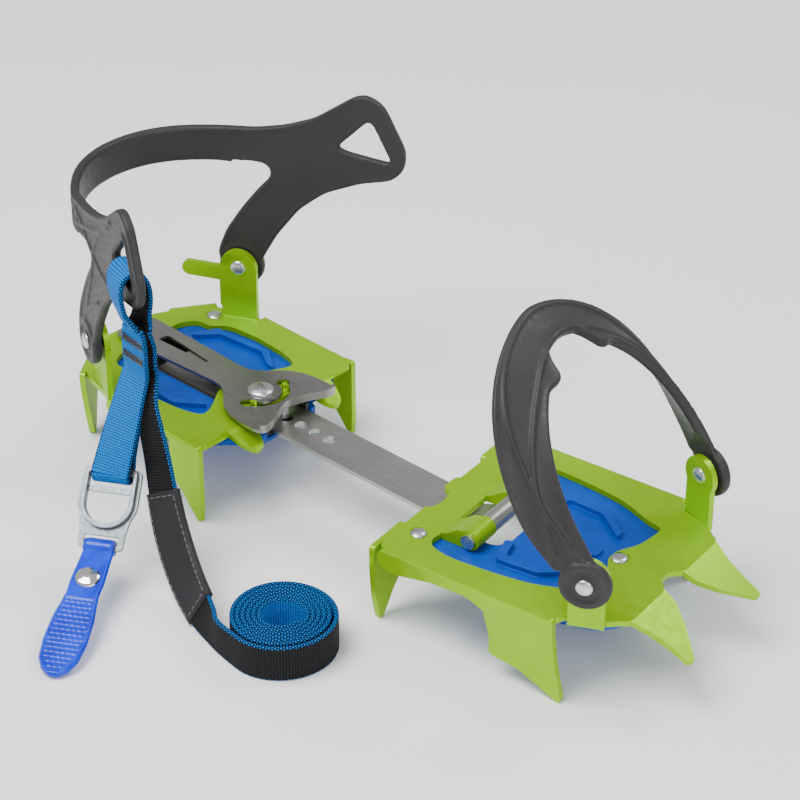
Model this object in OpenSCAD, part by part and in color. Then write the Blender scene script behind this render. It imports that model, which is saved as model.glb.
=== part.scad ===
// Two-plate walking and glacier crampon for a boot: a front frame with a
// flexible toe bail, a heel frame with a flexible heel basket, a perforated
// linking bar between them and a webbing strap with a ring buckle.
// Millimetres. The toe points along +X and the ground is below the plates.
// The origin is on the front plate, midway between the two bail rivets.

/* [Plates] */
// Thickness of the pressed frame plates
plate_t = 2.5; // [2.2:0.1:2.8]
// Height of the plates above the ground that the points stand on
point_drop = 37.4; // [34:0.2:42]
// Half the distance between the outer faces of the front side fangs
front_half_w = 50.5; // [50:0.25:52]
// Half the distance between the outer faces of the heel side fangs
heel_half_w = 47.5; // [47:0.25:49]
// Radius of the small domed plate rivets
rivet_head_r = 3.5; // [3:0.1:4]

/* [Linking bar] */
// Width of the linking bar
bar_w = 21.2; // [18:0.2:21.4]
// Thickness of the linking bar
bar_t = 2; // [1.6:0.1:2.2]
// Distance between the centres of the length holes
hole_pitch = 8.4; // [8:0.1:9]
// Number of length holes
hole_count = 11; // [8:1:11]
// Radius of a length hole
hole_r = 2.8; // [2.2:0.1:3.2]
// Turn of the rear half about the hinge, seen from above
rear_yaw = -7.3; // [-8:0.1:0]

/* [Toe bail] */
// Height of the bail rivets above the plate
bail_pivot_z = 20.4; // [19:0.2:22]
// Thickness of the bail's band
bail_t = 4; // [3.5:0.1:4.2]
// Toe-in of the front lugs and of the bail's ends
bail_toe = 20; // [18:1:21]

/* [Heel basket] */
// Height of the basket rivets above the plate
basket_pivot_z = 25; // [24:0.5:26]
// Thickness of the basket's walls
basket_t = 4; // [3.5:0.1:4.2]
// Splay of the basket's sides and of the heel lugs
splay = 24; // [22:1:26]

/* [Strap] */
// Width of the webbing
web_w = 16; // [15:0.5:16.5]
// Thickness of the webbing
web_t = 2; // [1.6:0.1:2]
// Outer radius of the rolled end
coil_r = 23.5; // [20:0.5:24]

/* [Hidden] */

green = "#96c814";
blue = "#0050c0";
steel = "#9a9896";
alloy = "#c8cacc";
grey_tpu = "#4a4748";
black = "#202022";
web_blue = "#1080d0";
fine = 64;              // facets of a circle

// Heights that several pieces share.
plate_low = -plate_t;
guard_gap = 0.2;
guard_top = plate_low - guard_gap;
guard_low = guard_top - 2.3;
bar_top = -4.8;
bar_low = bar_top - bar_t;

// The hinge between the front frame and the bar.
hinge_x = -64;
hinge_y = -4.5;
hinge_z = 2;
pin_r = 2;
run_gap = 0.06;
knuckle_r = 4.4;
barrel_r = 4.1;
knuckle_near = [-27, -14.2];
knuckle_far = [5.2, 18.5];

// Bail and basket pivots: rivet shank, running bore and the gap that lets a
// toed-in face turn about a square axis.
shank_r = 2.4;
boss_gap = 1.6;
washer_t = 0.8;
washer_r = 4.8;
bail_y = 42.2;          // middle of a front lug at its rivet
bail_boss_r = 10.4;
basket_x = -190;        // basket rivets, behind the hinge
basket_y = 41;
basket_boss_r = 10.5;

// Places in the rear half are measured from the hinge, along the bar.
lever_x = -136;
lever_y = 0;
lever_low = 1;
lever_t = 1.4;
first_hole = -95.2;
bar_end = -191;

// ---------------------------------------------------------------- outlines

// The outline pts with each corner turned into a curve that starts cut
// millimetres from it.
function soft(pts, cut = 3, n = 4) = [
    for (i = [0 : len(pts) - 1])
        let (
            b = pts[i],
            a = pts[(i + len(pts) - 1) % len(pts)],
            c = pts[(i + 1) % len(pts)],
            d1 = min(cut, 0.45 * norm(a - b)),
            d2 = min(cut, 0.45 * norm(c - b)),
            p = b + (a - b) / norm(a - b) * d1,
            q = b + (c - b) / norm(c - b) * d2
        )
        for (k = [0 : n])
            let (u = k / n)
            (1 - u) * (1 - u) * p + 2 * u * (1 - u) * b + u * u * q
];

// Half an outline, given for y >= 0 from back to front, closed by its mirror.
function whole(half) = concat(
    half,
    [for (i = [len(half) - 1 : -1 : 0]) if (half[i][1] > 0.01) [half[i][0], -half[i][1]]]
);

module slab(pts, low, high, cut = 3) {
    translate([0, 0, low])
        linear_extrude(high - low)
            polygon(soft(pts, cut));
}

// A flat blade that stands on edge: pts are (along, up) and the blade lies
// between y = near and y = far.
module blade(pts, near, far, cut = 2) {
    translate([0, far, 0])
        rotate([90, 0, 0])
            linear_extrude(far - near)
                polygon(soft(pts, cut));
}

module both_sides() {
    children();
    mirror([0, 1, 0]) children();
}

// Places the children in the rear half, whose origin is the hinge.
module rear() {
    translate([hinge_x, hinge_y, 0])
        rotate([0, 0, rear_yaw])
            children();
}

// A cylinder along Y from y0 to y1.
module rod_y(r, y0, y1) {
    translate([0, y1, 0])
        rotate([90, 0, 0])
            cylinder(r = r, h = y1 - y0, $fn = fine);
}

// A low dome of radius r and height h on z = 0.
module dome(r, h, steps = 5) {
    rotate_extrude($fn = fine)
        polygon(concat(
            [[0, 0], [r, 0]],
            [for (i = [1 : steps]) [r * cos(90 * i / steps), h * sin(90 * i / steps)]]
        ));
}

// A rivet from the plate's top down through the guard below it.
module plate_rivet() {
    translate([0, 0, -dimple]) dome(rivet_head_r, 1.4);
    translate([0, 0, guard_low - 1]) cylinder(r = 1.8, h = 1 - guard_low - dimple + 0.05, $fn = fine);
    translate([0, 0, guard_low - 1]) cylinder(r = 3.2, h = 1, $fn = fine);
}
dimple = 0.4;
dimple_r = rivet_head_r + 0.6;

// The hole and the dimple for a plate rivet.
module rivet_seat() {
    translate([0, 0, -20]) cylinder(r = 1.8, h = 30, $fn = fine);
    translate([0, 0, -dimple]) cylinder(r = dimple_r, h = 5, $fn = fine);
}

// ------------------------------------------------------------- front frame

front_edge = [
    [-93.5, 0], [-93.5, 44], [-92.5, 48], [-84, 48.2], [-60, 48.2], [-10, 48.2],
    [-8.5, 43.5], [7, 38.5], [11, 34.5], [14, 33], [14, 7], [9.5, 3.5], [9.5, 0]
];
front_opening = [
    [-77.5, 0], [-77.5, 28], [-78.6, 32], [-75.5, 36.4], [-66, 38.3], [-54, 37.6],
    [-43.6, 36.6], [-30.6, 34.6], [-19.7, 30.3], [-14.7, 28.2], [-8.8, 27.3],
    [-7.4, 24.5], [-9.2, 12], [-13, 6], [-15.5, 0]
];
// Front fang outline as (along the bent plane, y).
front_point = [
    [-3, 6.5], [7, 8], [15, 13], [22, 19], [28, 24.2], [28.6, 26], [27, 27.4],
    [19, 27.6], [9, 29.4], [-3, 33.6]
];
front_point_x = 13;
front_point_droop = 27;
// Rear fang of the front frame as (y, z), and the side fang as (x, z).
heel_side_fang = [
    [28, 0], [front_half_w, 0], [front_half_w, -10], [49.4, -24],
    [46.6, -point_drop + 0.9], [45.2, -point_drop], [43.6, -point_drop + 1],
    [37, -27], [31, -21.5], [28.5, -12]
];
side_fang = [
    [-43, 0], [-42.4, -6], [-38.4, -20], [-38.9, -27], [-36, -28], [-24.8, -29.3],
    [-14.2, -34], [-7.6, -point_drop + 0.6], [-6, -point_drop], [-5.2, -point_drop + 1.5],
    [-8.4, -20], [-10, -6], [-10, 0]
];
side_skirt = [[-92, 0], [-92, -7], [-84, -9], [-66, -5.5], [-50, -5], [-40, -9], [-40, 0]];
front_rivets = [[-85.1, 31.7], [-85.1, -31.7], [-11, 0]];

// Lug with a round head at the height of its rivet.
module round_lug(half, r, z) {
    translate([0, plate_t / 2, 0])
        rotate([90, 0, 0])
            linear_extrude(plate_t)
                union() {
                    translate([-half, -plate_t]) square([2 * half, z + plate_t]);
                    translate([0, z]) circle(r = r, $fn = fine);
                }
}

// Cuts off what a fold leaves above the plate's top.
module below_top() {
    difference() {
        children();
        translate([-400, -100, 0]) cube([800, 200, 20]);
    }
}

// Curled strip that holds the hinge pin between y0 and y1.
module knuckle(y0, y1) {
    translate([hinge_x, y1, hinge_z])
        rotate([90, 0, 0])
            linear_extrude(y1 - y0)
                union() {
                    circle(r = knuckle_r, $fn = fine);
                    polygon([
                        [-15, plate_low - hinge_z], [-15, -hinge_z], [-11, -0.9], [-6, 2.8],
                        [-2.2, 3.8], [0, 0], [-1, -knuckle_r + 0.05], [-6, plate_low - hinge_z]
                    ]);
                }
}

module front_frame() color(green)
    difference() {
        union() {
            difference() {
                union() {
                    slab(whole(front_edge), plate_low, 0, 3);
                    slab([[-95.5, 1], [-95.5, 9], [-91, 12], [-91, -2]], plate_low, 0, 1.5);
                }
                slab(whole(front_opening), -9, 9, 5);
                slab([[-97, -16], [-91, -14], [-90, -9], [-90, -6], [-91, -1], [-97, 1]], -9, 9, 1.5);
            }
            both_sides() {
                below_top()
                    translate([front_point_x, 0, 0])
                        rotate([0, front_point_droop, 0])
                            translate([0, 0, plate_low])
                                linear_extrude(plate_t)
                                    polygon(soft(front_point, 1.6));
                translate([-93.4, 0, 0])
                    rotate([0, 0, 90])
                        blade(heel_side_fang, 0, plate_t, 2);
                blade(side_fang, front_half_w - plate_t, front_half_w, 2);
                blade(side_skirt, front_half_w - plate_t, front_half_w, 3);
                translate([0, bail_y, 0])
                    rotate([0, 0, -bail_toe])
                        round_lug(7.2, 8.4, bail_pivot_z);
            }
            knuckle(knuckle_near[0], knuckle_near[1]);
            knuckle(knuckle_far[0], knuckle_far[1]);
        }
        for (p = front_rivets) translate([p[0], p[1], 0]) rivet_seat();
        translate([hinge_x, 0, hinge_z]) rod_y(pin_r, -40, 40);
        translate([0, 0, bail_pivot_z]) rod_y(shank_r, -60, 60);
    }

module front_plate_rivets() color(alloy)
    for (p = front_rivets) translate([p[0], p[1], 0]) plate_rivet();

module hinge_pin() color(alloy)
    translate([hinge_x, 0, hinge_z]) {
        rod_y(pin_r, knuckle_near[0] - 1.2, knuckle_far[1] + 1.2);
        rod_y(3, knuckle_near[0] - 1.6, knuckle_near[0]);
        rod_y(3, knuckle_far[1], knuckle_far[1] + 1.6);
    }

front_guard = [
    [-89.5, 20], [-89.5, 40], [-86, 44], [-50, 45], [-12, 44.5], [4, 40], [11, 31], [10, 20],
    [2, 9], [0, 0]
];
guard_rib = [[-55, 15], [-51, 28], [-32, 26.5], [-19.5, 16], [-19.5, 12], [-33, 22.5], [-49, 23.5], [-51, 14]];

module front_antiball_plate() color(blue)
    difference() {
        union() {
            difference() {
                slab(whole(front_guard), guard_low, guard_top, 4);
                slab([[-95, -18.5], [-58, -18.5], [-54, -14], [-54, 10], [-58, 14.5], [-95, 21]], -20, 9, 3);
            }
            both_sides() slab(guard_rib, guard_low - 0.5, guard_top + 2.4, 2);
            slab([[-48, -3], [-20, -3], [-20, 3], [-48, 3]], guard_low - 3, guard_top + 1.6, 2);
        }
        for (p = front_rivets) translate([p[0], p[1], 0]) translate([0, 0, -20]) cylinder(r = 1.8, h = 30, $fn = fine);
    }

// ---------------------------------------------------------------- toe bail

// A toed-in rivet whose shank is square to the hinge axis: head outside,
// peened end inside the lug.
module side_rivet(toe, reach, head_r) {
    rod_y(shank_r, -plate_t / 2 - 1.2, reach + 0.6);
    rotate([0, 0, toe]) {
        translate([0, -plate_t / 2 - 1.1, 0]) rod_y(3.6, 0, 1.1);
        translate([0, reach, 0]) rotate([-90, 0, 0]) dome(head_r, 1.5);
    }
}

module pivot_washer(toe) {
    rotate([0, 0, toe])
        translate([0, plate_t / 2 + 0.05, 0])
            rod_y(washer_r, 0, washer_t);
}

bail_reach = plate_t / 2 + boss_gap + bail_t + 0.6;

module bail_rivets() color(alloy)
    both_sides()
        translate([0, bail_y, bail_pivot_z])
            side_rivet(-bail_toe, bail_reach, rivet_head_r);

module bail_washers() color(black)
    both_sides()
        translate([0, bail_y, bail_pivot_z])
            difference() {
                pivot_washer(-bail_toe);
                rod_y(shank_r, -5, 9);
            }

// The two edges of the band at angle a, from the far side over to the near
// side, measured from the middle of the hinge axis.
function rise(a) = pow(abs(sin(a)), 1.19);
function reach(a) = sign(cos(a)) * pow(abs(cos(a)), 1.19);
function bail_back(a) = [-12 - 46 * rise(a), (51.5 + 25 * rise(a)) * reach(a), 5 + 71 * rise(a)];
function bail_front(a) = [15 - 53 * rise(a), (40.7 + 24 * rise(a)) * reach(a), -6 + 74 * rise(a)];
function unit(v) = v / norm(v);
function bail_out(a) = unit(cross(
    bail_back(a + 1) + bail_front(a + 1) - bail_back(a - 1) - bail_front(a - 1),
    bail_front(a) - bail_back(a)
));

// A closed ribbon through rings of four corners.
module ribbon_from(rings) {
    n = len(rings);
    polyhedron(
        points = [for (ring = rings) each ring],
        faces = concat(
            [[0, 1, 2, 3]],
            [for (i = [0 : n - 2], k = [0 : 3])
                let (
                    a = 4 * i + k,
                    b = 4 * i + (k + 1) % 4
                )
                each [[a, a + 4, b + 4], [a, b + 4, b]]],
            [[4 * n - 1, 4 * n - 2, 4 * n - 3, 4 * n - 4]]
        )
    );
}

bail_angles = [for (i = [0 : 34]) 5 + 170 * i / 34];

module bail_boss() {
    rotate([0, 0, -bail_toe])
        translate([0, plate_t / 2 + boss_gap, 0])
            rod_y(bail_boss_r, 0, bail_t);
}

module front_bail() color(grey_tpu)
    translate([0, 0, bail_pivot_z])
        difference() {
            union() {
                ribbon_from([for (a = bail_angles)
                    let (o = bail_out(a) * bail_t / 2)
                    [bail_back(a) - o, bail_front(a) - o, bail_front(a) + o, bail_back(a) + o]]);
                both_sides() translate([0, bail_y, 0]) bail_boss();
            }
            rod_y(shank_r + run_gap, -70, 70);
            both_sides()
                translate([0, bail_y, 0])
                    rotate([0, 0, -bail_toe])
                        translate([-14, -30, -14])
                            cube([28, 30 + plate_t / 2 + boss_gap, 28]);
        }

// ------------------------------------------------------------- linking bar

// The barrel's tail lies just inside the strip that it runs into.
tail_top_z = bar_top - hinge_z - 0.05;
tail_low_z = bar_low - hinge_z + 0.05;

module linking_bar() color(steel)
    difference() {
        union() {
            translate([hinge_x, knuckle_far[0] - 0.3, hinge_z])
                rotate([90, 0, 0])
                    linear_extrude(knuckle_far[0] - knuckle_near[1] - 0.6)
                        union() {
                            circle(r = barrel_r, $fn = fine);
                            polygon([
                                [-0.5, 0], [-3, 0.5], [-6, -3], [-18, tail_top_z], [-24, tail_top_z],
                                [-24, tail_low_z], [-17, tail_low_z], [-6, -5.3], [-0.8, -3.5]
                            ]);
                        }
            rear()
                slab([
                    [-19, -bar_w / 2], [-19, bar_w / 2], [bar_end, bar_w / 2], [bar_end, -bar_w / 2]
                ], bar_low, bar_top, 4);
        }
        translate([hinge_x, 0, hinge_z]) rod_y(pin_r + run_gap, -40, 40);
        rear()
            for (i = [0 : hole_count - 1])
                translate([first_hole - i * hole_pitch, 0, -20])
                    cylinder(r = hole_r, h = 30, $fn = fine);
    }

// -------------------------------------------------------------- heel frame

heel_edge = [
    [-221, 0], [-221, 13], [-217.5, 20], [-207, 37.5], [-197, 41], [-181, 45.2], [-125.2, 45.2],
    [-125.2, 16], [-128, 12], [-128, 0]
];
heel_opening = [
    [-205.5, 0], [-205.5, 18], [-201, 25], [-193, 25], [-188, 31], [-171, 32.6], [-153, 31],
    [-143.4, 28.2], [-143.4, 24], [-146, 19], [-153, 8], [-153, 0]
];
heel_front_fang = [
    [-147, 0], [-125.2, 0], [-125.2, -28], [-125.6, -point_drop + 0.4], [-126.6, -point_drop],
    [-127.8, -point_drop + 0.8], [-135, -28], [-140, -22], [-147, -19], [-154, -15.5],
    [-162, -9], [-172, -6], [-182, -5.5], [-182, 0]
];
heel_back_fang = [
    [-11, 0], [-11.5, -10], [-7, -22], [-1.6, -point_drop + 0.8], [-0.4, -point_drop],
    [1.2, -point_drop + 0.6], [5, -26], [9.5, -12], [11.5, 0]
];
heel_rivets = [[-199, 33.5], [-199, -33.5]];
fang_corner = [-210.6, 31.2];
fang_turn = 56;
tongue_x = -125.2;
tongue_droop = 24;
guard_tongue = [[-3, 16.5], [9, 18.5], [14, 21.5], [14, 25.5], [9, 28.5], [-3, 31]];

// Lug with a round head over its rivet and a short bill behind it.
module billed_lug(z) {
    translate([0, plate_t / 2, 0])
        rotate([90, 0, 0])
            linear_extrude(plate_t)
                union() {
                    translate([-9, -plate_t]) square([17.5, z + plate_t - 2]);
                    translate([0, z]) circle(r = 8.6, $fn = fine);
                    translate([-23.5, z - 7.5]) square([23.5, 7]);
                    translate([-23.5, z - 4]) circle(r = 3.5, $fn = fine);
                }
}

module heel_frame() color(green)
    rear()
        difference() {
            union() {
                difference() {
                    slab(whole(heel_edge), plate_low, 0, 3);
                    slab(whole(heel_opening), -9, 9, 4);
                }
                both_sides() {
                    difference() {
                        blade(heel_front_fang, heel_half_w - plate_t, heel_half_w, 2);
                        translate([-145, 0, -8]) {
                            rod_y(1.8, 30, 60);
                            translate([0, 0, 4]) rod_y(1.8, 30, 60);
                            translate([-1.8, 30, 0]) cube([3.6, 30, 4]);
                        }
                    }
                    translate([fang_corner[0], fang_corner[1], 0])
                        rotate([0, 0, fang_turn])
                            blade(heel_back_fang, -0.6, plate_t - 0.6, 2);
                    below_top()
                        translate([tongue_x, 0, 0])
                            rotate([0, tongue_droop, 0])
                                translate([0, 0, plate_low])
                                    linear_extrude(plate_t)
                                        polygon(soft(guard_tongue, 3));
                    translate([basket_x, basket_y, 0])
                        rotate([0, 0, splay])
                            billed_lug(basket_pivot_z);
                    translate([lever_x, 0, 0])
                        for (a = [58, 64])
                            rotate([0, 0, a])
                                translate([9.8, -0.7, -1])
                                    cube([2, 1.4, 4.6]);
                }
                slab([[-221, -13], [-221, 13], [-218.6, 13], [-218.6, -13]], -7, -0.5, 0.5);
            }
            for (p = heel_rivets) translate([p[0], p[1], 0]) rivet_seat();
            translate([lever_x, lever_y, -20]) cylinder(r = 3, h = 40, $fn = fine);
            translate([basket_x, 0, basket_pivot_z]) rod_y(shank_r, -60, 60);
        }

module heel_plate_rivets() color(alloy)
    rear()
        for (p = heel_rivets) translate([p[0], p[1], 0]) plate_rivet();

heel_guard = [
    [-214, 16], [-213, 20], [-206, 30], [-201, 38.5], [-186, 41], [-150, 42], [-133, 41],
    [-121, 29], [-113, 26], [-113, 18], [-119, 14.2]
];
heel_guard_rib = [[-196, 16], [-190, 27], [-160, 29], [-148, 20], [-152, 20], [-162, 26], [-186, 24], [-193, 16]];

module heel_antiball_plate() color(blue)
    rear()
        difference() {
            union() {
                both_sides() {
                    slab(concat(heel_guard, [[-119, 13.2], [-214, 13.2]]), guard_low, guard_top, 2.5);
                    slab(heel_guard_rib, guard_low - 0.4, guard_top + 2.2, 1.5);
                }
                slab([[-214, -14], [-214, 14], [-119, 14], [-119, -14]], -10.2, -8.5, 2);
                both_sides()
                    slab([[-214, 13.2], [-214, 16], [-119, 16], [-119, 13.2]], -10, guard_top, 0.5);
            }
            for (p = heel_rivets) translate([p[0], p[1], -20]) cylinder(r = 1.8, h = 30, $fn = fine);
            translate([tongue_x, 0, 0])
                rotate([0, tongue_droop, 0])
                    translate([-2, -60, plate_low - 0.3])
                        cube([30, 120, 20]);
            translate([lever_x, lever_y, -20]) cylinder(r = 3.6, h = 30, $fn = fine);
        }

module bar_channel() color(black)
    rear()
        difference() {
            slab([[-213, -13], [-213, 13], [-120, 13], [-120, -13]], -8.4, guard_top, 0.5);
            slab([[-240, -bar_w / 2 - 0.4], [-240, bar_w / 2 + 0.4], [-100, bar_w / 2 + 0.4], [-100, -bar_w / 2 - 0.4]],
                bar_low - 0.4, 5, 0.2);
        }

// ----------------------------------------------------------- adjuster lever

lever_edge = [
    [-218, 0], [-218, 6], [-216.5, 10], [-212, 10.6], [-156, 8.3], [-151, 8.8], [-146, 12.5],
    [-140, 18.5], [-133, 22.3], [-125, 23.6], [-116, 23.8], [-112, 21.5], [-112.4, 16.5],
    [-116, 10.5], [-119.6, 0]
];
lever_lip = [[-114.2, 16.5], [-117.6, 10.4], [-121, 0]];

module lever_slot() {
    for (s = [0 : 10 : 70])
        for (side = [-1, 1])
            rotate([0, 0, side * s])
                translate([9, -1.4, -5])
                    cube([3.6, 2.8, 20]);
    for (side = [-1, 1])
        rotate([0, 0, side * 76])
            translate([11.2, 0, -5])
                cylinder(r = 2.9, h = 20, $fn = fine);
}

module adjuster_lever() color(steel)
    rear()
        difference() {
            union() {
                slab(whole(lever_edge), lever_low, lever_low + lever_t, 3);
                difference() {
                    slab(whole(lever_edge), lever_low, lever_low + lever_t + 2.4, 3);
                    slab(concat([[-230, 30], [-122, 30]], [[-113.9, 24.5]], lever_lip,
                        [[-117.6, -10.4], [-114.2, -16.5], [-113.9, -24.5], [-122, -30], [-230, -30]]), -5, 20, 1);
                }
            }
            translate([lever_x, lever_y, 0]) {
                translate([0, 0, -5]) cylinder(r = 3 + run_gap, h = 20, $fn = fine);
                lever_slot();
            }
            slab([[-199, -0.7], [-199, 3.8], [-196, 4.4], [-170, 1.4], [-169, 0.6], [-170, 0]], -5, 20, 1);
        }

module lever_rivet() color(alloy)
    rear()
        translate([lever_x, lever_y, 0]) {
            translate([0, 0, -4.2]) cylinder(r = 3, h = 4.2 + lever_low + lever_t + 0.3, $fn = fine);
            cylinder(r = 5.2, h = lever_low - 0.1, $fn = fine);
            translate([0, 0, lever_low + lever_t + 0.1]) dome(5.8, 2.2);
            translate([0, 0, -4.4]) cylinder(r = 3.4, h = 1.8, $fn = fine);
        }

module lock_peg() color(alloy)
    rear()
        translate([-122.6, 0, bar_top + 0.15])
            cylinder(r = 2.3, h = lever_low - bar_top - 0.15, $fn = fine);

// -------------------------------------------------------------- heel basket

// Side of the basket as (along the splayed plane from the rivet, height).
basket_side = [
    [-11.5, 29], [-7, 41], [1.2, 54], [9.2, 64.6], [14.8, 70.6], [14.8, 75.5], [10, 77.6],
    [-8, 75.6], [-8, 91.6], [8, 93.2], [22, 96.6], [35, 101.8], [46, 109.6], [54, 115.4],
    [60, 116.4], [67, 112.4], [77, 92], [76, 83.5], [70.5, 78], [56, 74.2], [40, 67],
    [28, 57], [17, 42], [10, 29], [8, 24], [-9, 24]
];
basket_hole = [[61, 105.8], [45.4, 90], [50, 88.3], [71, 85.8]];
basket_gap = plate_t / 2 + boss_gap - 0.3;
band_r = 46.5;
band_low = 75;
band_high = 91.3;
band_x = -221 - 2 + band_r;
band_half_angle = 90 - splay + 1.5;

module basket_wall() {
    translate([basket_x, basket_y, 0])
        rotate([0, 0, splay])
            translate([0, basket_gap, 0])
                difference() {
                    union() {
                        blade(basket_side, 0, basket_t, 4);
                        translate([0, 0, basket_pivot_z]) rod_y(basket_boss_r, 0, basket_t);
                    }
                    blade(basket_hole, -5, 15, 4);
                }
}

module heel_basket() color(grey_tpu)
    rear()
        difference() {
            union() {
                both_sides() basket_wall();
                translate([band_x, 0, band_low])
                    rotate([0, 0, 180 - band_half_angle])
                        rotate_extrude(angle = 2 * band_half_angle, $fn = 96)
                            translate([band_r - basket_t / 2, 0])
                                square([basket_t, band_high - band_low]);
            }
            translate([basket_x, 0, basket_pivot_z]) rod_y(shank_r + run_gap, -70, 70);
        }

basket_reach = basket_gap + basket_t + 0.6;

module basket_rivets() color(alloy)
    rear()
        both_sides()
            translate([basket_x, basket_y, basket_pivot_z])
                side_rivet(splay, basket_reach, rivet_head_r);

module basket_washers() color(black)
    rear()
        both_sides()
            translate([basket_x, basket_y, basket_pivot_z])
                difference() {
                    pivot_washer(splay);
                    rod_y(shank_r, -5, 9);
                }

// -------------------------------------------------------------------- strap

// A ribbon along pts whose width runs along the directions in across.
function travel(pts, i) = unit(pts[min(i + 1, len(pts) - 1)] - pts[max(i - 1, 0)]);
function square_to(v, t) = unit(v - (v * t) * t);
module ribbon(pts, across, w = web_w, t = web_t) {
    ribbon_from([for (i = [0 : len(pts) - 1])
        let (
            d = travel(pts, i),
            a = square_to(across[i], d) * w / 2,
            n = unit(cross(d, a)) * t / 2
        )
        [pts[i] - a - n, pts[i] + a - n, pts[i] + a + n, pts[i] - a + n]]);
}

// The strap hangs over the lower bar of the near basket loop. There its width
// lies along the basket's wall, and further down it turns by hang_turn.
function turned(v, a) = [v[0] * cos(a) - v[1] * sin(a), v[0] * sin(a) + v[1] * cos(a), v[2]];
wall_turn = rear_yaw - splay;
hang_turn = -13.9;
loop_u = 59;            // middle of the bar, along the wall from its rivet
loop_at = [hinge_x, hinge_y, 0] + turned([basket_x, -basket_y, 0], rear_yaw)
    + turned([loop_u, -basket_gap - basket_t / 2, 0], wall_turn);
function hang(z) = hang_turn + (wall_turn - hang_turn) * max(0, min(1, (z - 62) / 12));
function web_q(z) = turned([1, 0, 0], hang(z));
// A point of the strap: inwards from the bar's middle, height, and forwards.
function on_loop(p, z, q = 0) = loop_at + turned([q, p, 0], hang(z)) + [0, 0, z];

// The drop-shaped turn round the bar: half width and top height of the drop.
drop_w = 8.2;
drop_low = 64;
drop_z = 91.4;
strand_gap = 1.2 + web_t / 2;
function drop(a) = on_loop(
    drop_w * sin(a) * (0.68 + 0.32 * cos(a)),
    drop_low + (drop_z - drop_low) * (0.5 + 0.5 * cos(a)),
    2.6 - 2.6 * cos(a)
);
loop_route = concat(
    [on_loop(-strand_gap, 50, 5), on_loop(-strand_gap, 60, 5)],
    [for (a = [-150 : 15 : 150]) drop(a)],
    [on_loop(strand_gap, 60, 5), on_loop(strand_gap, 50, 5)]
);

module strap_loop() color(web_blue)
    ribbon(loop_route, [for (p = loop_route) web_q(p[2])]);

// The short strand runs down to the two ring bars, round them through the
// slots below, and back up behind. ring_at is the middle of the front ring's
// bar; the rings hang from it, sloping outwards by ring_slope.
ring_at = [-207.4, -74.3, 5.3];
ring_turn = 22.6;
ring_slope = 46;
ring_w = [cos(ring_turn), sin(ring_turn), 0];
ring_o = [sin(ring_turn), -cos(ring_turn), 0];
ring_t = 1.9;
ring_gap = 0.2;
function ring_point(y, z) = ring_at
    - ring_o * (y * cos(ring_slope) + z * sin(ring_slope))
    + [0, 0, z * cos(ring_slope) - y * sin(ring_slope)];

// The fold round both bars, as an ellipse about their common middle.
function fold(a) = ring_point((ring_t + ring_gap) / 2 + 4.4 * cos(a), 3.9 * sin(a));
short_top = on_loop(-strand_gap, 49.8, 5);
short_bend = short_top - [0, 0, 4];
fold_start = 203;
function strand(t, back = 0) = fold(fold_start) + (short_bend - fold(fold_start)) * t - ring_o * back;
function strand_q(t) = unit(web_q(0) * t + ring_w * (1 - t));
strand_front = [0.75, 0.5, 0.25, 0.1];
strand_back = [[0.1, 6.7], [0.22, 5], [0.35, 3.6], [0.5, 2.7]];
short_route = concat(
    [short_top, short_bend],
    [for (t = strand_front) strand(t)],
    [for (a = [fold_start : 20 : fold_start + 180]) fold(a)],
    [for (t = strand_back) strand(t[0], t[1])]
);
short_across = concat(
    [web_q(0), web_q(0)],
    [for (t = strand_front) strand_q(t)],
    [for (a = [fold_start : 20 : fold_start + 180]) ring_w],
    [for (t = strand_back) strand_q(t[0])]
);

module strap_short_strand() color(web_blue)
    ribbon(short_route, short_across);

// The long tail runs down inside the label sleeve to the floor and meets the
// rolled end, which stands on its edge.
floor_z = -point_drop;
tail_top = on_loop(strand_gap, 49.8, 5);
tail_route = [
    tail_top, tail_top - [0, 0, 4], [-200.5, -60, 36], [-196, -62.5, 25], [-191, -65, 12], [-186.5, -68, 0],
    [-180, -72.5, -11], [-171, -78.5, -19.5], [-160, -85.5, -25.5], [-149, -92, -28.6],
    [-140, -97, -29.2], [-133, -101.2, -29.3]
];
tail_across = [
    web_q(0), web_q(0), web_q(0), [0.96, -0.2, 0.1], [0.95, -0.12, 0.2], [0.9, -0.02, 0.3], [0.82, 0.1, 0.45],
    [0.7, 0.2, 0.6], [0.55, 0.26, 0.75], [0.4, 0.25, 0.87], [0.2, 0.12, 0.97], [0, 0, 1]
];
label_first = 5;
label_last = 9;

module strap_tail() color(black)
    ribbon(tail_route, tail_across);

// The sleeve is a slightly larger ribbon round the tail, hollow inside.
module label_sleeve() color(black)
    difference() {
        ribbon(
            [for (i = [label_first : label_last]) tail_route[i]],
            [for (i = [label_first : label_last]) tail_across[i]],
            web_w + 2.4, web_t + 1.6
        );
        ribbon(tail_route, tail_across, web_w + 0.1, web_t + 0.1);
    }

coil_at = [-115, -83];
coil_hole_r = 7.5;

module strap_coil() color(web_blue)
    translate([coil_at[0], coil_at[1], floor_z])
        difference() {
            cylinder(r = coil_r, h = web_w, $fn = fine);
            translate([0, 0, -1]) cylinder(r = coil_hole_r, h = web_w + 2, $fn = fine);
        }

module strap_bar_tacks() color(black)
    for (z = [53, 61])
        translate(on_loop(-strand_gap - web_t / 2 - 0.5, z, 5))
            rotate([0, 0, hang(z)])
                cube([10, 0.4, 2.4], center = true);

// ------------------------------------------------------------- ring buckle

// Places the children at the ring bars, with -Z down along the hanging rings
// and -Y towards their front.
module at_ring() {
    translate(ring_at)
        rotate([0, 0, ring_turn])
            rotate([-ring_slope, 0, 0])
                children();
}

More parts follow.
